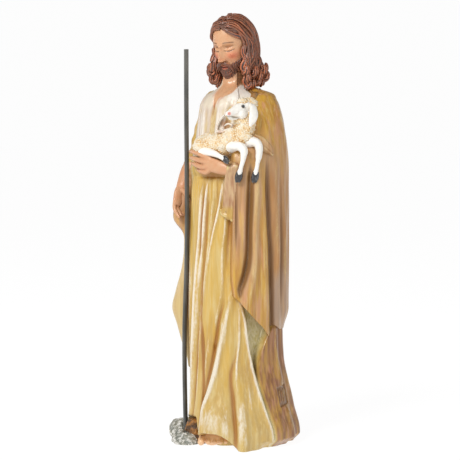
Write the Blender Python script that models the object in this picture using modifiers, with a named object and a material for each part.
# A good shepherd statue: one resin casting of a robed figure with a lamb on its arm, and a metal staff.
# The figure faces -Y, its own left is +X, and it stands on Z = 0. Sizes are in metres.

import math

import bmesh
import bpy
import numpy as np

# Driving sizes
FIGURE_HEIGHT = 0.2587
STAFF_DIAMETER = 0.0028
STAFF_TOP = 0.2375
STAFF_FOOT = 0.0030
STAFF_CLEARANCE = 0.0003
STAFF_BOW = 0.0014

# The carving is laid out on a figure 258.7 units tall. A bearing is an angle in degrees round the figure:
# 0 is the front, 90 its left side, 180 the back and -90 its right side.
UNIT = FIGURE_HEIGHT / 258.7
STAFF_PLACE = (-20.5, -22.5)
HEM_DROP = 15

# How finely the forms are laid and fused
FUSE_SIZE = 0.85
TRIANGLES = 9200


def through(knots, x):
    """A smooth curve through (place, value) knots, level beyond both ends."""
    places, values = np.array(sorted(knots), float).T
    slopes = np.gradient(values, places)
    x = np.clip(np.asarray(x, float), places[0], places[-1])
    i = np.clip(np.searchsorted(places, x, side="right") - 1, 0, len(places) - 2)
    span = places[i + 1] - places[i]
    t = (x - places[i]) / span
    return (
        (1 + 2 * t) * (1 - t) ** 2 * values[i]
        + t * (1 - t) ** 2 * span * slopes[i]
        + t * t * (3 - 2 * t) * values[i + 1]
        - t * t * (1 - t) * span * slopes[i + 1]
    )


def ease(x):
    """0 below 0, 1 above 1, and smooth between them."""
    x = np.clip(x, 0, 1)
    return x * x * (3 - 2 * x)


def bell(x):
    return np.exp(-x * x)


def turn(angle):
    """An angle in degrees brought between -180 and 180."""
    return (np.asarray(angle) + 180) % 360 - 180


def oval(bearing, half_width, half_depth, aside, ahead):
    """Distance from the axis to an oval that stands a little off it."""
    b = np.radians(bearing)
    reach = 1 / np.sqrt((np.sin(b) / half_width) ** 2 + (np.cos(b) / half_depth) ** 2)
    return reach + aside * np.sin(b) + ahead * np.cos(b)


def ridge(bearing, height, radius, line, rise, width):
    """A rounded fold along line, a list of (height, bearing) knots; rise holds (height, amount) knots."""
    off = np.radians(turn(bearing - through(line, height))) * radius
    return through(rise, height) * bell(off / width)


def valley(bearing, height, radius, line, depth, width):
    """A sharp crease between two folds, along line."""
    off = np.radians(turn(bearing - through(line, height))) * radius
    return -through(depth, height) * np.exp((0.4 - np.sqrt(off * off + 0.16)) / width)


def ledge(bearing, height, radius, line, rise, width):
    """Cloth past line lies rise higher, and comes down again half way round."""
    past = turn(bearing - through(line, height))
    return through(rise, height) * ease(np.radians(past) * radius / width + 0.5) * ease((178 - past) / 60)


TUNIC = {  # height: half width, half depth, aside, ahead
    0: (32.2, 31.2, 6.2, 2.8),
    8: (32, 31, 6.2, 2.8),
    20: (29.6, 28.4, 5.2, 2.8),
    34: (27.8, 26.8, 3.4, 2.8),
    50: (26.6, 25.6, 1.2, 3),
    75: (26.6, 25, 0.6, 3.2),
    120: (27, 23.5, 0, 3.2),
    150: (27, 22.5, 0, 3.2),
    160: (26, 22.3, 0, 3.2),
    165: (26.2, 23, 0, 3.3),
    175: (25, 20.5, 0, 3),
    190: (23.5, 17.5, 0, 3),
    200: (22.5, 16.5, 0, 3),
    206: (20.5, 15.5, 0, 3),
    210: (17.5, 13.5, 0, 2.5),
    213: (11, 11, 0, 1.5),
    216: (7.8, 8.2, 0, 1),
    224: (7, 7.5, 0, 1.5),
}


def row_of(table, height):
    """The four values of a table of ovals at a height."""
    return [through([(h, row[k]) for h, row in table.items()], height) for k in range(4)]


LEG_LINE = [(105, 36), (87, 31), (76, 25.6), (62, 21), (46, 15), (33, 9), (24, 4), (13, 3)]
SIDE_LINE = [(95, 40), (86, 43), (76, 47.5), (62, 51), (50, 55), (36.7, 60), (24.8, 65), (12.7, 70), (0, 72)]
TRAIN_LINE = [(86, 96), (74, 78), (66, 70), (58, 65), (49, 61.5), (40, 62.5), (29, 67), (15, 72.5), (0, 75)]


NECKLINE = [(-60, 220), (-30, 217.5), (-14, 211.7), (-7.5, 206), (-4.5, 200.5), (-1.5, 203.9), (2.2, 206.9),
            (11.7, 208.6), (28, 211), (40, 216.4), (60, 220)]
TOE_HEM = [(-10, -2), (-6, 6), (1, 9.8), (15, 12), (28, 11.4), (34, 9.5), (38, 5), (42, -2)]


def tunic(bearing, height):
    """How far the tunic stands from the axis."""
    r = oval(bearing, *row_of(TUNIC, height))
    front = (bearing, height, r)
    # Long folds that fall from the belt over the right leg
    add = ridge(*front, [(165, -4), (153, -9.5), (122, -14), (85, -18), (38, -25), (10, -28)],
                [(166, 0), (150, 1.6), (120, 2.3), (80, 2.9), (40, 2.4), (8, 1.4)], 1.9)
    add += valley(*front, [(150, -15), (122, -19.5), (85, -24.5), (38, -32), (10, -36)],
                  [(156, 0), (140, 1.0), (80, 1.4), (10, 1.0)], 1.0)
    add += ridge(*front, [(165, 3), (155, -0.5), (140, -5.5), (122, -8.5), (105, -11)],
                 [(166, 0), (150, 1.5), (122, 1.6), (100, 0)], 1.3)
    add += valley(*front, [(150, -4), (140, -8.5), (122, -11.5), (112, -12.5)],
                  [(154, 0), (142, 1.2), (120, 1.3), (106, 0)], 0.9)
    add += ridge(*front, [(162, 22), (145, 17), (136, 12.5), (126, 7.3), (112, 2)],
                 [(163, 0), (150, 1.0), (128, 1.0), (108, 0)], 1.3)
    add += valley(*front, [(130, 2), (100, -3), (78, -8.5), (60, -6.5), (34, -3), (20, -3)],
                  [(135, 0), (100, 0.8), (70, 1.6), (34, 1.9), (12, 1.0)], 1.3)
    add += ridge(*front, [(120, -38), (60, -40), (10, -44)], [(130, 0), (90, 0.8), (60, 0.6), (10, 0.6)], 2.5)
    add += valley(*front, [(120, -32), (60, -32), (10, -36)], [(130, 0), (90, 1.0), (30, 1.2), (8, 0.6)], 1.2)
    # The line of the standing leg, and the cloth that lies smooth beside it
    add += ridge(*front, LEG_LINE, [(108, 0), (87, 1.3), (62, 2.4), (33, 2.8), (14, 1.6), (5, 0.6)], 2.6)
    add += valley(*front, [(h, b - 9) for h, b in LEG_LINE],
                  [(96, 0), (76, 1.0), (46, 1.8), (24, 1.2), (12, 0)], 1.2)
    add += ridge(*front, [(90, 38), (60, 30), (30, 22), (10, 20)], [(110, 0), (60, 1.5), (25, 2.2), (8, 1.4)], 7)
    add += valley(*front, [(72, 38.4), (54, 37), (46, 33), (28, 35), (11, 37.5), (0, 38)],
                  [(80, 0), (60, 0.7), (45, 1.6), (25, 2.8), (8, 3.0), (0, 2)], 1.7)
    add += ridge(*front, [(60, 43), (41, 42), (26, 43.5), (0, 44)],
                 [(75, 0), (45, 1.0), (25, 2.3), (8, 3.4), (0, 4.6)], 4.2)
    add += ridge(*front, [(20, 12), (0, 12)], [(44, 0), (32, 1.6), (20, 3.4), (9, 2.6), (0, 2.0)], 9)
    # The edge on the figure's left, and the train that comes round behind it
    add += ridge(*front, SIDE_LINE, [(95, 0), (80, 1.2), (50, 1.6), (20, 1.6), (3, 0.8)], 1.5)
    lining = ease(turn(bearing - through(SIDE_LINE, height) - 1.5) / 4) * ease(
        turn(through(TRAIN_LINE, height) + 1.5 - bearing) / 3)
    add -= lining * through([(95, 2), (80, 5), (60, 5), (45, 4.4), (28, 3.4), (12, 2.4), (0, 1.6)], height)
    add += ledge(*front, TRAIN_LINE, [(92, 0), (74, 1.2), (50, 1.6), (30, 1.6), (12, 1.2), (0, 0.8)], 2.0)
    # Folds of the train round the back
    for place, lean, rise in [(92, 6, 1.2), (112, 4, 1.8), (132, 3, 1.2), (152, 2, 1.9), (171, 0, 1.4),
                              (190, -1, 2.0), (210, -3, 1.4), (230, -5, 1.9), (252, -6, 1.5), (274, -7, 1.6)]:
        line = [(0, place + lean), (100, place - lean)]
        add += ridge(*front, line, [(0, rise), (30, rise), (95, rise / 2), (110, 0)], 3.4)
        add += valley(*front, [(h, b + 9) for h, b in line], [(0, rise * 0.6), (90, rise * 0.4), (110, 0)], 1.6)
    # Small gathers under the belt, and the slit below the neck
    for place in range(-30, 34, 6):
        add += ridge(*front, [(165, place), (135, place * 1.1 - 2)],
                     [(162, 0), (157, 0.5), (142, 0.35), (128, 0)], 0.9)
    add -= bell((height - 161.5) / 1.2) * 0.9 * bell(turn(bearing - 2) / 34)
    add += valley(*front, [(210, -2), (196, -6)], [(213, 0), (205, 0.9), (198, 0.8), (194, 0)], 0.7)
    # Folds across the chest that fall from the shoulders
    for top, foot, rise in [(-42, -24, 0.9), (-26, -15, 0.7), (-9, -5, 0.0), (10, 2, 0.9), (24, 9, 0.8), (38, 20, 0.8)]:
        add += ridge(*front, [(208, top), (165, foot)], [(209, 0), (200, rise), (175, rise), (162, 0)], 1.7)
    # The neckline, whose edge stands off the skin
    add += 0.9 * ease((through(NECKLINE, turn(bearing)) - height) / 0.9 + 0.5)
    # The train rounds under where it meets the ground
    add -= 6 * ease((5.5 - height) / 6) * ease((turn(bearing) - 54) / 14) * ease((135 - turn(bearing)) / 30)
    # The front hem is lifted over the toes
    return r + add - HEM_DROP * ease((through(TOE_HEM, turn(bearing)) - height) / 2.2)


MANTLE = {  # height: half width, half depth, aside, ahead
    40: (30, 29, 3, 2),
    60: (30.5, 28.5, 3, 2.5),
    90: (31, 28, 3, 3),
    120: (31, 27, 3.5, 3),
    150: (31, 26, 4, 3),
    170: (30.5, 24.5, 4.5, 3),
    190: (28.5, 21.5, 4.5, 2.5),
    200: (27, 19.5, 3.8, 2),
    207: (25, 17.5, 3, 1.8),
    211: (22.5, 15, 2.4, 1.2),
    214: (14, 12, 1, 1),
    217: (9.5, 9.5, 0, 1),
}
FRONT_EDGE = [(214, 46), (206, 50), (195, 40), (180, 31), (160, 32), (108, 31), (102, 34), (96, 37), (88, 36.5)]
RIGHT_EDGE = [(214, 215), (200, 232), (188, 262), (174, 292), (160, 306), (140, 311), (44, 315)]
HEM = [(31, 92), (37, 89.5), (46, 83), (57, 76), (67, 70.5), (72, 67), (78, 73), (84, 71), (90, 70), (98, 70),
       (112, 69), (130, 69), (150, 75), (170, 83), (190, 85), (215, 81), (240, 72), (265, 62), (285, 53), (300, 47),
       (315, 43)]
TOP = [(31, 178), (36, 192), (46, 206), (54, 212), (62, 217), (215, 217), (232, 204), (262, 191), (285, 180),
       (300, 168), (315, 158)]


def mantle(bearing, height):
    """How far the mantle stands from the axis."""
    r = oval(bearing, *row_of(MANTLE, height))
    out = (bearing, height, r)
    # Cloth hung over the left forearm, and the corner drawn over the right one
    add = through([(60, 3.5), (90, 3.4), (130, 2.6), (160, 4.2), (172, 3.6), (184, 0)], height) * bell(
        turn(bearing - 43) / 24)
    add += through([(42, 1), (46, 2), (58, 6), (70, 9.2), (79, 11.6), (90, 9), (105, 5), (118, 4), (126, 4.6),
                    (134, 10.4), (146, 9.5), (158, 6), (170, 2)], height) * bell(
        turn(bearing - through([(46, -70), (80, -67), (110, -64), (135, -61), (160, -70)], height)) / 17)
    # The hem tucks in toward the back
    add -= 3.5 * ease((82 - height) / 15) * ease((bearing - 84) / 20) * ease((240 - bearing) / 50)
    # Rolled edge, flat panels and deep creases of the front
    add -= 7 * ease(1 - (bearing - through(FRONT_EDGE, height)) / 7) ** 2
    add -= 5 * ease(1 - (through(RIGHT_EDGE, height) - bearing) / 8) ** 2
    add += valley(*out, [(165, 38), (118, 38)], [(168, 0), (155, 1.0), (125, 1.0), (112, 0)], 0.7)
    add += valley(*out, [(165, 51.5), (133, 50.4), (112, 49.2), (104, 46.5), (95, 41.5)],
                  [(172, 0), (158, 2.6), (120, 3.2), (104, 3.6), (95, 2.4), (88, 0)], 1.3)
    add += ridge(*out, [(165, 57), (133, 56), (112, 56), (95, 52), (84, 48)],
                 [(172, 0), (158, 1.4), (112, 1.4), (95, 1.8), (84, 0.8)], 2.2)
    add += valley(*out, [(165, 69), (136, 71), (121, 73.5), (100, 75), (76, 76.5)],
                  [(178, 0), (160, 2.2), (121, 2.8), (90, 3.2), (68, 3.0)], 1.3)
    add += ridge(*out, [(165, 78), (120, 82), (76, 84)], [(178, 0), (160, 0.9), (100, 1.4), (70, 1.2)], 3)
    add += ridge(*out, [(165, 64), (76, 68)], [(175, 0), (150, 0.7), (90, 1.0), (70, 0.4)], 2.5)
    # Folds down the back, from the left shoulder round to the right arm
    for place, lean, rise, top in [(97, 3, 1.4, 190), (112, 5, 1.0, 200), (127, 5, 1.8, 196), (143, 6, 1.3, 206),
                                   (160, 6, 2.0, 202), (177, 3, 1.4, 208), (195, -2, 2.1, 202), (213, -4, 1.4, 204),
                                   (231, -6, 1.9, 198), (248, -5, 1.3, 186), (266, -3, 1.6, 176)]:
        line = [(210, 180 + (place - 180) * 0.75), (120, place), (60, place + lean)]
        grow = [(50, rise * 1.3), (110, rise), (165, rise * 0.55), (top, 0)]
        add += ridge(*out, line, grow, 3.2)
        add += valley(*out, [(h, b + 8) for h, b in line], [(h, a * 0.7) for h, a in grow], 1.5)
    # The shoulder's own soft folds
    add += ridge(*out, [(205, 62), (180, 75)], [(208, 0), (196, 0.9), (182, 0.6), (172, 0)], 2.4)
    add += ridge(*out, [(208, 92), (175, 98)], [(211, 0), (198, 0.8), (182, 0.8), (170, 0)], 3)
    return r + add


def place(bearing, radius, height):
    """Points in units from bearings, distances from the axis and heights."""
    b = np.radians(bearing)
    return np.stack([radius * np.sin(b), -radius * np.cos(b), height + 0 * b], -1)


def spaced(knots, count):
    """Heights that run through knots with even shares of count."""
    return np.interp(np.linspace(0, len(knots) - 1, count), range(len(knots)), knots)


def skin(rows):
    """Vertices and faces of a closed form whose cross-sections are rows of points."""
    count, around = rows.shape[:2]
    faces = [
        (i * around + j, i * around + (j + 1) % around, (i + 1) * around + (j + 1) % around, (i + 1) * around + j)
        for i in range(count - 1)
        for j in range(around)
    ]
    faces.append(tuple(range(around))[::-1])
    faces.append(tuple((count - 1) * around + j for j in range(around)))
    return rows.reshape(-1, 3), faces


def tunic_form(rows, columns):
    heights = spaced([0, 9, 60, 158, 163, 205, 216, 224], rows)[:, None]
    bearings = np.linspace(0, 360, columns, endpoint=False)[None]
    return skin(place(bearings, tunic(bearings, heights), heights))


def mantle_grid(rows, columns):
    """Bearings and heights of the mantle's outer face, from the top edge to the hem."""
    share = np.linspace(0, 1, columns)[None]
    down = np.linspace(0, 1, rows)[:, None]
    nominal = through([(0, 31), (0.16, 78), (1, 315)], share)
    top, hem = through(TOP, nominal), through(HEM, nominal)
    height = top + (hem - top) * down
    near_front, near_right = ease(1 - share / 0.16), ease(1 - (1 - share) / 0.4)
    bearing = (
        nominal
        + (through(FRONT_EDGE, height) - 31) * near_front
        + (through(RIGHT_EDGE, height) - 315) * near_right
    )
    return bearing, height


def mantle_form(rows, columns):
    """A thick solid: the outer face, and an inner face that lies inside the tunic."""
    bearing, height = mantle_grid(rows, columns)
    outer = place(bearing, mantle(bearing, height), height)
    down = np.linspace(0, 1, rows)[:, None]
    raised = height + 4 * ease((down - 0.9) / 0.1)
    within = np.minimum(tunic(bearing, raised) - 3, mantle(bearing, height) - 3)
    inner = place(bearing, within, raised)
    return skin(np.concatenate([outer, inner[:, ::-1]], 1))


def frames(line):
    """Unit tangents of a line of points."""
    ahead = np.gradient(line, axis=0)
    return ahead / np.linalg.norm(ahead, axis=1, keepdims=True)


def limb(points, wide, thick=None, facing=(0, 0, 1), sides=12, steps=12):
    """A rounded bar along points. wide and thick are half sizes at those points, and thick lies along facing."""
    points = np.array(points, float)
    stations = np.linspace(0, 1, len(points))
    t = np.linspace(0, 1, steps)
    line = np.stack([through(list(zip(stations, points[:, k])), t) for k in range(3)], -1)
    wide = through(list(zip(stations, wide)), t)
    thick = wide if thick is None else through(list(zip(stations, thick)), t)
    ahead = frames(line)
    up = np.array(facing, float) - (ahead @ np.array(facing, float))[:, None] * ahead
    up /= np.linalg.norm(up, axis=1, keepdims=True)
    side = np.cross(ahead, up)
    # Round ends: rings that close over half an oval
    cap = np.sin(np.linspace(0.15, 0.5, 4)[:-1] * math.pi)
    reach = np.cos(np.linspace(0.15, 0.5, 4)[:-1] * math.pi)
    first = [(line[0] - ahead[0] * wide[0] * c, s * wide[0], s * thick[0], side[0], up[0]) for s, c in zip(cap, reach)]
    last = [(line[-1] + ahead[-1] * wide[-1] * c, s * wide[-1], s * thick[-1], side[-1], up[-1])
            for s, c in zip(cap, reach)]
    rings = first + list(zip(line, wide, thick, side, up)) + last[::-1]
    angle = np.linspace(0, 2 * math.pi, sides, endpoint=False)
    rows = [c + np.outer(np.cos(angle) * w, s) + np.outer(np.sin(angle) * h, u) for c, w, h, s, u in rings]
    return skin(np.array(rows)[:, ::-1])


def ball(centre, half_sizes, detail):
    """An egg-shaped form."""
    up = np.radians(np.linspace(-89, 89, detail))[:, None]
    bearing = np.linspace(0, 360, detail * 2, endpoint=False)[None]
    return skin(place(bearing, np.cos(up), np.sin(up)) * np.array(half_sizes) + np.array(centre))


def spun(tilt, turned):
    """The rotation that tips a form forward by tilt, then turns it toward the figure's left."""
    a, b = math.radians(tilt), math.radians(turned)
    tip = np.array([[1, 0, 0], [0, math.cos(a), -math.sin(a)], [0, math.sin(a), math.cos(a)]])
    swing = np.array([[math.cos(b), -math.sin(b), 0], [math.sin(b), math.cos(b), 0], [0, 0, 1]])
    return swing @ tip


HEAD_PLACE = np.array([0, -3.2, 240.5])
HEAD_POSE = spun(19, -5)
SKULL = {  # height over the eye line: half width, depth in front, depth behind
    16.0: (1.5, 1.5, 2),
    15.2: (5, 5, 6.5),
    13: (7.8, 8.3, 10),
    10: (9.6, 10.6, 12.4),
    6: (10.5, 11.8, 13.8),
    1: (10.6, 12.0, 14.2),
    -4: (10.0, 12.0, 13.2),
    -8: (9.2, 12.0, 11),
    -12: (8.0, 11.6, 8),
    -15: (6.0, 10.9, 5),
    -17: (3.0, 9.4, 3),
    -17.8: (0.6, 7.5, 1.5),
}
NOSE = [(3.4, 0), (2.2, 0.8), (0, 1.3), (-3, 2.7), (-5.4, 4.0), (-6.4, 3.6), (-7.2, 0.4), (-8, 0)]


def face(x, z):
    """A calm, plainly proportioned face: how far it stands before the oval of the head."""
    side = np.abs(x)
    out = 0.9 * bell((z - 3.5 + 0.05 * (side - 4) ** 2) / 1.2) * ease((9 - side) / 3)
    out = out - 1.7 * bell((side - 4.5) / 2.5) * bell((z - 0.5) / 2.3)
    out = out + 1.35 * bell((side - 4.6) / 2.1) * bell((z + 0.1) / 1.25)
    out = out + through(NOSE, z) * bell(x / through([(-7, 1.9), (-4, 1.7), (1, 1.25), (3, 1.6)], z))
    out = out + 1.2 * bell((side - 1.8) / 0.9) * bell((z + 6) / 0.9)
    out = out + 0.6 * bell((side - 6.2) / 2.6) * bell((z + 3.4) / 2.4)
    out = out + bell(x / 3.0) * (0.9 * bell((z + 9.7) / 0.75) + 1.0 * bell((z + 11.4) / 0.85))
    return out + 1.2 * bell(x / 4.0) * bell((z + 15) / 2.2)


def head_form(rows, columns):
    height = spaced([-17.8, -15, -8, 5, 13, 16], rows)[:, None]
    bearing = np.linspace(0, 360, columns, endpoint=False)[None]
    b = np.radians(bearing)
    wide, ahead, behind = [through([(h, row[k]) for h, row in SKULL.items()], height) for k in range(3)]
    x = wide * np.sin(b)
    y = -np.where(np.cos(b) > 0, ahead, behind) * np.cos(b)
    y = y - face(x, height) * ease(np.cos(b) / 0.4)
    points = np.stack([x, y, height + 0 * b], -1)
    return skin(points @ HEAD_POSE.T + HEAD_PLACE)


def on_scalp(direction, lift):
    """A point lift outside the oval of the scalp, in the direction given in the head's own frame."""
    direction = direction / np.linalg.norm(direction)
    sizes = np.array([11.3, 13.9, 15.6]) + lift
    reach = 1 / np.linalg.norm(direction / sizes)
    return HEAD_PLACE + HEAD_POSE @ (direction * reach + np.array([0, 1.4, 0.4]))


def hair_line(side, share, lift, fall):
    """One lock: from the parting over the scalp to the ear, then down in waves to a curl on the shoulder."""
    root = np.array([side * 0.06 + 0.05, -0.62 + 1.35 * share, 0.93 - 0.45 * (share - 0.35) ** 2])
    b = math.radians(side * (52 + 122 * share))
    ear = np.array([math.sin(b), -math.cos(b), -0.12])
    points = [on_scalp(root * (1 - t) + ear * t + np.array([0, 0, 0.35]) * math.sin(math.pi * t), lift)
              for t in (0, 0.25, 0.5, 0.75, 1)]
    low = math.radians(side * (46 + 134 * share))
    out = np.array([math.sin(low), -math.cos(low), 0])
    along = np.array([math.cos(low), math.sin(low), 0]) * side
    wave = math.sin(share * 17 + side) * 1.0
    # Locks at the back lie longer and flatter than those beside the face
    long = 9 * ease((share - 0.45) / 0.4)
    spread = 3.2 * bell((share - 0.5) / 0.22) - 0.6
    for reach, height, sway in [(13.3, 231, 0.7), (14.2 + 0.3 * spread, 226, -0.9),
                                (15.2 + fall + 0.7 * spread, 221 - 0.3 * long + 0.3 * spread, 0.9),
                                (16.2 + fall + spread, 217.5 - 0.7 * long + fall + 0.6 * spread, -0.7),
                                (16.9 + fall + spread - 0.05 * long, 215 - long + fall + spread, 0.9)]:
        points.append(out * (reach + lift * 0.5) + along * (sway + wave) + np.array([0, -1.0, height]))
    return points


def hair_forms(count, thick, steps, sides):
    """Locks on both sides of the parting, in one layer."""
    forms = []
    for side in (-1, 1):
        for k in range(count):
            share = k / (count - 1)
            points = hair_line(side, share, 0.4 + 0.5 * (k % 2), 1.1 * math.sin(k * 2.4 + side))
            sizes = [thick * m for m in (0.8, 1, 1.05, 1.05, 1, 1, 1.1, 1.2, 0.95, 0.4)]
            forms.append(limb(points, sizes, [s * 0.75 for s in sizes], (0.1, 0.2, 1), sides, steps))
    return forms


def beard_forms(count, steps, sides):
    """Short locks round the jaw, and the two halves of the moustache."""
    forms = []
    for k in range(count):
        f = 2 * k / (count - 1) - 1
        b = math.radians(78 * f)
        root = np.array([9.3 * math.sin(b), -11.6 * math.cos(b), -9.6 - 2.2 * math.cos(b)])
        tip = np.array([5.2 * f, -10.6 + 4.6 * f * f, -17.6 + 3.4 * f * f + 0.7 * (k % 2)])
        middle = (root + tip) / 2 + np.array([1.3 * f, -1.3, 0])
        points = [HEAD_PLACE + HEAD_POSE @ p for p in (root, middle, tip)]
        forms.append(limb(points, (1.5, 1.75, 0.8), None, (0.3, 1, 0.2), sides, steps))
    for side in (-1, 1):
        line = [(0.4, -13.7, -7.9), (2.4, -13.5, -8.3), (4.4, -12.4, -9.8), (5.2, -11.4, -12.2)]
        points = [HEAD_PLACE + HEAD_POSE @ np.array([side * x, y, z]) for x, y, z in line]
        forms.append(limb(points, (0.7, 1.0, 1.0, 0.8), None, (0.3, 1, 0.2), sides, steps))
    return forms


def right_arm_forms(steps, sides):
    sleeve = [(-18, 3, 205.5), (-25.5, 4.5, 190), (-29.5, 2, 174), (-30.5, -7, 163), (-29.6, -14.5, 154.5)]
    hand = [(-30, -12.5, 157), (-29.7, -17.5, 151), (-28.6, -20.8, 146)]
    forms = [
        limb(sleeve, (8, 7.5, 7.2, 6.4, 4.9), None, (1, 0, 0), sides * 2, steps * 2),
        limb(hand, (3.2, 4.0, 3.6), (2.4, 2.2, 1.8), (1, -0.4, 0), sides, steps),
        limb([(-27.8, -17.5, 152.5), (-24, -18.8, 150), (-20.6, -19.3, 146.5)], (1.6, 1.35, 1.1), None, (0, 0, 1),
             sides, steps),
    ]
    for k in range(4):
        knuckle = np.array([-29.2 + 0.5 * k, -22.6 + 1.9 * k, 146.5 - 0.4 * k])
        tip = np.array([-23.6 - 0.3 * k, -24.6 + 1.6 * k, 138.2 - 0.6 * (k - 1.5) ** 2])
        bent = (knuckle + tip) / 2 + np.array([-1.4, -0.2, -0.6])
        forms.append(limb([knuckle, bent, tip], (1.4, 1.3, 0.95), None, (1, 0, 0), sides, steps))
    return forms


FINGERS = [
    [(4, -30.5, 171.5), (-3.6, -30.2, 174.3), (-10.5, -27.4, 175.3), (-16, -23.4, 174.8)],
    [(3.8, -31, 169.6), (-2.4, -30.9, 170.7), (-8.8, -28.9, 171.5), (-13.8, -25.7, 171.4)],
    [(3.6, -31, 167.6), (-1, -31, 167.2), (-6.4, -29.5, 168.2), (-11, -26.8, 168.8)],
    [(4, -30.6, 165.8), (1.5, -30.6, 164.8), (-2.8, -29.3, 165.4), (-6.8, -27.2, 166)],
]


def left_hand_forms(steps, sides):
    """The hand under the lamb, and the wide sleeve that hangs from its wrist."""
    arm = [(24, -22, 164.5), (19.5, -27.3, 165.2), (12, -30.3, 166.8), (4.2, -30.4, 168.8)]
    forms = [limb(arm, (4, 3.5, 3.9, 4.4), (3, 2.6, 2.3, 2.1), (0.2, -1, 0), sides, steps)]
    forms += [limb(line, (1.65, 1.55, 1.4, 1.05), None, (0, 0, 1), sides, steps) for line in FINGERS]
    return forms


def sleeve_forms(steps, sides):
    return [
        limb([(24, -24, 168), (19.6, -27.4, 167.5), (16.4, -28.4, 166)], (4.6, 4.9, 4.4), (4.2, 4.6, 4.2),
             (0.2, -1, 0), sides, steps),
        limb([(18.5, -27.5, 167), (16, -27.2, 158), (13.6, -26.4, 147), (11.6, -25.8, 138)], (3.0, 2.9, 2.6, 2.2),
             (3.2, 2.9, 2.5, 2.0), (0.45, -0.9, 0), sides, steps),
        limb([(22, -25.5, 167), (19.6, -25.8, 158), (17.6, -25.6, 148), (15.6, -25.4, 137.5)], (2.8, 2.7, 2.6, 1.9),
             (3.0, 2.8, 2.4, 1.8), (0.5, -0.9, 0), sides, steps),
        limb([(24.5, -23.5, 166), (22.8, -23.6, 156), (20.8, -23.8, 144), (19.6, -23.8, 137)], (2.4, 2.4, 2.2, 1.4),
             (2.6, 2.6, 2.2, 1.5), (0.5, -0.9, 0), sides, steps),
        limb([(8.8, -26.2, 139.5), (12.6, -27.4, 136.6), (17.8, -26, 135.8)], (1.4, 1.5, 1.2), None, (0, 0, 1),
             sides, steps),
    ]


def lamb_forms(steps, sides):
    body = [(-8.2, -20.5, 178.8), (-5, -22.2, 180), (1.5, -23.7, 180.2), (9, -23.6, 180.5), (17, -20.4, 183),
            (20, -17.8, 188), (20.4, -15.8, 194), (20, -14.8, 199.5)]
    forms = [
        limb(body, (5.0, 6.6, 6.7, 6.8, 7.9, 7.0, 6.2, 5.6), None, (0, 1, 0), sides * 2, steps * 3),
        ball((-3.8, -26.6, 180.0), (6.2, 5.0, 5.4), sides),
        ball((19.6, -15.2, 201.6), (6.0, 6.4, 5.6), sides),
        limb([(19.6, -17.5, 201.4), (18.7, -23, 200.4), (17.7, -27.8, 199), (17.2, -29.6, 198.4)],
             (5.4, 4.5, 3.5, 2.8), (5.2, 4.4, 3.4, 2.7), (0, 0, 1), sides, steps),
        limb([(24.2, -14.4, 203.5), (26.8, -15.6, 200), (27.2, -16.8, 195), (26.2, -17.6, 191.4)],
             (1.6, 2.6, 2.6, 1.2), (1.4, 1.5, 1.3, 0.9), (1, -0.5, 0), sides, steps),
        limb([(15.6, -12, 203.2), (13.6, -13.4, 200.5), (13, -14.8, 196.5)], (1.4, 2.2, 1.0), (1.2, 1.3, 0.8),
             (-1, -0.4, 0), sides, steps),
        limb([(17, -26.4, 178.2), (22.4, -27.6, 178.2), (26.6, -26.2, 176.8), (27.1, -27.4, 171.6), (26, -28.9, 165),
              (25, -29.6, 160.8)], (3.6, 3.3, 2.9, 2.2, 1.7, 2.0), None, (0.6, -0.8, 0), sides, steps * 2),
        limb([(25, -20.4, 181), (29.8, -19.4, 180), (32.2, -19, 176.6), (32.2, -19.6, 171.4), (31.7, -20.8, 165),
              (31.1, -21.6, 160.4)], (3.6, 3.2, 2.8, 2.2, 1.7, 2.0), None, (0.6, -0.8, 0), sides, steps * 2),
        limb([(-2.6, -28.8, 176.6), (3, -30.3, 175.6), (9.6, -31.2, 174.6), (15.8, -32, 172.4)],
             (2.9, 2.5, 1.9, 1.8), None, (0.2, -1, 0), sides, steps),
        limb([(-9.5, -24, 177), (-7.5, -27, 175.8), (-4, -29, 175.6)], (2.4, 2.2, 1.8), None, (0, 0, 1), sides, steps),
    ]
    return forms


FOOT_TURN = spun(0, 34)
FOOT_PLACE = np.array([3.4, -25.2, 0])
TOES = [(-6.4, -1.2, 2.5), (-2.6, -2.0, 1.75), (0.7, -1.6, 1.7), (3.7, -0.8, 1.6), (6.3, 0.6, 1.5)]


def foot_forms(steps, sides):
    """The foot that shows under the hem, laid out along its own length and then turned."""
    lines = [([(1, 14, 9), (0.4, 8, 8.2), (-0.4, 3.2, 5)], (7, 7.6, 6.4), (5.5, 4.6, 3.4))]
    for x, y, r in TOES:
        lines.append(([(x * 0.9, y + 6.5, 5.2), (x, y + 2.4, 4.2), (x * 1.02, y, 2.7)], (r, r * 0.92, r), None))
    return [limb([FOOT_TURN @ np.array(p) + FOOT_PLACE for p in line], wide, thick, (0, 0, 1), sides, steps)
            for line, wide, thick in lines]


STONES = [((-28.8, -16.6, 3.2), (8.6, 8.0, 8.3), 1.0), ((-15.6, -28.4, 2.8), (8.6, 7.6, 7.6), 4.0),
          ((-10.8, -26.8, 4.6), (6.4, 6.0, 8.2), 7.0), ((-22.5, -21.2, 2.4), (6.5, 6.0, 6.0), 2.2)]


def stone_forms(detail):
    """Broken lumps beside the foot, which hold the staff."""
    forms = []
    for centre, sizes, key in STONES:
        points, faces = ball((0, 0, 0), (1, 1, 1), detail)
        lump = 1 + 0 * points[:, 0]
        for k in range(7):
            a, c = key + 2.4 * k, math.sin(key * 3 + 1.9 * k)
            way = np.array([math.cos(a) * math.sqrt(1 - c * c), math.sin(a) * math.sqrt(1 - c * c), c])
            # Each cut flattens one side of the lump
            lump = np.minimum(lump, (0.86 + 0.05 * math.sin(key + k)) / np.maximum(points @ way, 0.05))
        forms.append((points * lump[:, None] * np.array(sizes) + np.array(centre), faces))
    return forms


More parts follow.
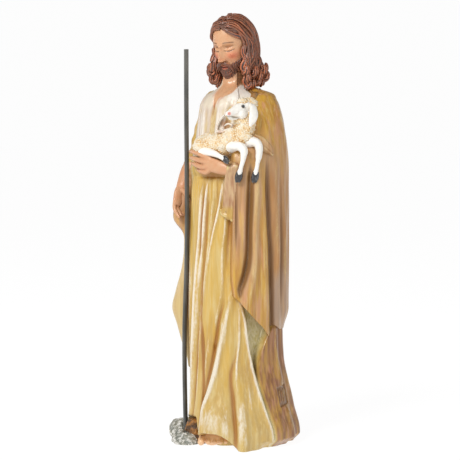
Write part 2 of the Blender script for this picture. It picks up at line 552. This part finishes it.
def figure_forms():
    forms = [tunic_form(170, 200), mantle_form(130, 190), head_form(40, 56)]
    forms += hair_forms(9, 2.0, 22, 8) + beard_forms(9, 8, 8)
    forms += right_arm_forms(10, 10) + left_hand_forms(10, 10) + sleeve_forms(10, 12)
    forms += lamb_forms(10, 12) + foot_forms(8, 10) + stone_forms(12)
    return forms


STAFF_SWAY = [(0, -0.6), (20, -1.0), (50, -1.4), (75, -1.2), (100, -0.2), (125, 0.3), (150, 0.3), (200, 0), (238, 0)]


def staff_points(foot, top):
    """The rod's centre line. It bows a little in a straight line across the figure's front."""
    heights = np.linspace(foot, top, 15)
    sway = through(STAFF_SWAY, heights / UNIT) * STAFF_BOW / 1.4
    x, y = STAFF_PLACE
    return [(x * UNIT + 0.79 * s, y * UNIT + 0.61 * s, h) for s, h in zip(sway, heights)]


def clear_scene():
    for thing in list(bpy.data.objects):
        bpy.data.objects.remove(thing)


def new_collection(name):
    group = bpy.data.collections.new(name)
    bpy.context.scene.collection.children.link(group)
    return group


def new_material(name, colour, roughness, metallic):
    material = bpy.data.materials.new(name)
    material.use_nodes = True
    shader = material.node_tree.nodes["Principled BSDF"]
    shader.inputs["Base Color"].default_value = (*colour, 1)
    shader.inputs["Roughness"].default_value = roughness
    shader.inputs["Metallic"].default_value = metallic
    return material


def new_object(name, mesh, group, material=None):
    thing = bpy.data.objects.new(name, mesh)
    group.objects.link(thing)
    if material:
        mesh.materials.append(material)
    return thing


def joined_mesh(name, forms):
    """One mesh of many forms, brought from units to metres."""
    mesh = bpy.data.meshes.new(name)
    points, faces, start = [], [], 0
    for form_points, form_faces in forms:
        points.append(form_points)
        faces += [tuple(start + corner for corner in corners) for corners in form_faces]
        start += len(form_points)
    mesh.from_pydata((np.concatenate(points) * UNIT).tolist(), [], faces)
    mesh.update()
    return mesh


def evaluated(thing):
    """The mesh that an object's modifiers give."""
    graph = bpy.context.evaluated_depsgraph_get()
    return bpy.data.meshes.new_from_object(thing.evaluated_get(graph))


def rod(name, points, radius, group, material=None):
    """A round bar along points, as a closed mesh."""
    curve = bpy.data.curves.new(name + "_line", "CURVE")
    curve.dimensions = "3D"
    curve.bevel_depth = radius
    curve.bevel_resolution = 2
    curve.use_fill_caps = True
    spline = curve.splines.new("POLY")
    spline.points.add(len(points) - 1)
    for knot, point in zip(spline.points, points):
        knot.co = (*point, 1)
    line = bpy.data.objects.new(name + "_line", curve)
    group.objects.link(line)
    mesh = evaluated(line)
    mesh.name = name
    bpy.data.objects.remove(line)
    shape = bmesh.new()
    shape.from_mesh(mesh)
    bmesh.ops.remove_doubles(shape, verts=shape.verts, dist=0.00001)
    bmesh.ops.recalc_face_normals(shape, faces=shape.faces)
    shape.to_mesh(mesh)
    shape.free()
    return new_object(name, mesh, group, material)


def keep_largest(mesh):
    """Removes every loose scrap beside the main body."""
    shape = bmesh.new()
    shape.from_mesh(mesh)
    left, bodies = set(shape.verts), []
    while left:
        body, edge = set(), [left.pop()]
        while edge:
            vertex = edge.pop()
            body.add(vertex)
            near = {link.other_vert(vertex) for link in vertex.link_edges} & left
            left -= near
            edge += near
        bodies.append(body)
    bodies.sort(key=len)
    scraps = [vertex for body in bodies[:-1] for vertex in body]
    bmesh.ops.delete(shape, geom=scraps, context="VERTS")
    shape.to_mesh(mesh)
    shape.free()


def carved(mesh):
    """Fuses the forms into one skin and brings it down to flat facets."""
    work = bpy.data.objects.new("work", mesh)
    bpy.context.scene.collection.objects.link(work)
    fuse = work.modifiers.new("Fuse", "REMESH")
    fuse.mode = "VOXEL"
    fuse.voxel_size = FUSE_SIZE * UNIT
    work.data = evaluated(work)
    work.modifiers.clear()
    keep_largest(work.data)
    soften = work.modifiers.new("Soften", "SMOOTH")
    soften.factor = 0.5
    soften.iterations = 2
    fewer = work.modifiers.new("Fewer", "DECIMATE")
    faces = sum(len(polygon.vertices) - 2 for polygon in work.data.polygons)
    fewer.ratio = TRIANGLES / faces
    # The head, the hands and the lamb keep more of the facets
    places = np.array([v.co for v in work.data.vertices]) / FIGURE_HEIGHT
    fine = (places[:, 2] > 0.82) | ((places[:, 2] > 0.5) & (places[:, 1] < -0.055))
    weights = work.vertex_groups.new(name="coarseness")
    weights.add(np.flatnonzero(fine).tolist(), 0.2, "REPLACE")
    weights.add(np.flatnonzero(~fine).tolist(), 1, "REPLACE")
    fewer.vertex_group = weights.name
    fewer.vertex_group_factor = 0.1
    fewer.use_collapse_triangulate = True
    result = evaluated(work)
    bpy.data.objects.remove(work)
    return result


def cut(thing, cutter, name):
    bite = thing.modifiers.new(name, "BOOLEAN")
    bite.operation = "DIFFERENCE"
    bite.solver = "EXACT"
    bite.object = cutter
    cutter.hide_render = True
    cutter.display_type = "WIRE"


def below_ground(group):
    """A block that cuts the casting flat where it stands."""
    size, depth = 0.5 * FIGURE_HEIGHT, 0.05 * FIGURE_HEIGHT
    bpy.ops.mesh.primitive_cube_add(size=1, location=(0, 0, -depth / 2))
    block = bpy.context.object
    block.name = "ground_cut"
    block.scale = (size, size, depth)
    for owner in list(block.users_collection):
        owner.objects.unlink(block)
    group.objects.link(block)
    return block


def build():
    clear_scene()
    parts, cutters = new_collection("good_shepherd_statue"), new_collection("cutters")
    resin = new_material("painted_resin", (0.52, 0.33, 0.12), 0.42, 0)
    metal = new_material("dark_metal", (0.07, 0.075, 0.075), 0.4, 0.85)
    figure = new_object("figure", carved(joined_mesh("figure", figure_forms())), parts, resin)
    cut(figure, below_ground(cutters), "Flat underside")
    foot, top = STAFF_FOOT, STAFF_TOP
    rod("staff", staff_points(foot, top), STAFF_DIAMETER / 2, parts, metal)
    hole = rod("staff_hole", staff_points(foot - STAFF_CLEARANCE, top + 0.002),
               STAFF_DIAMETER / 2 + STAFF_CLEARANCE, cutters)
    cut(figure, hole, "Staff hole")


build()
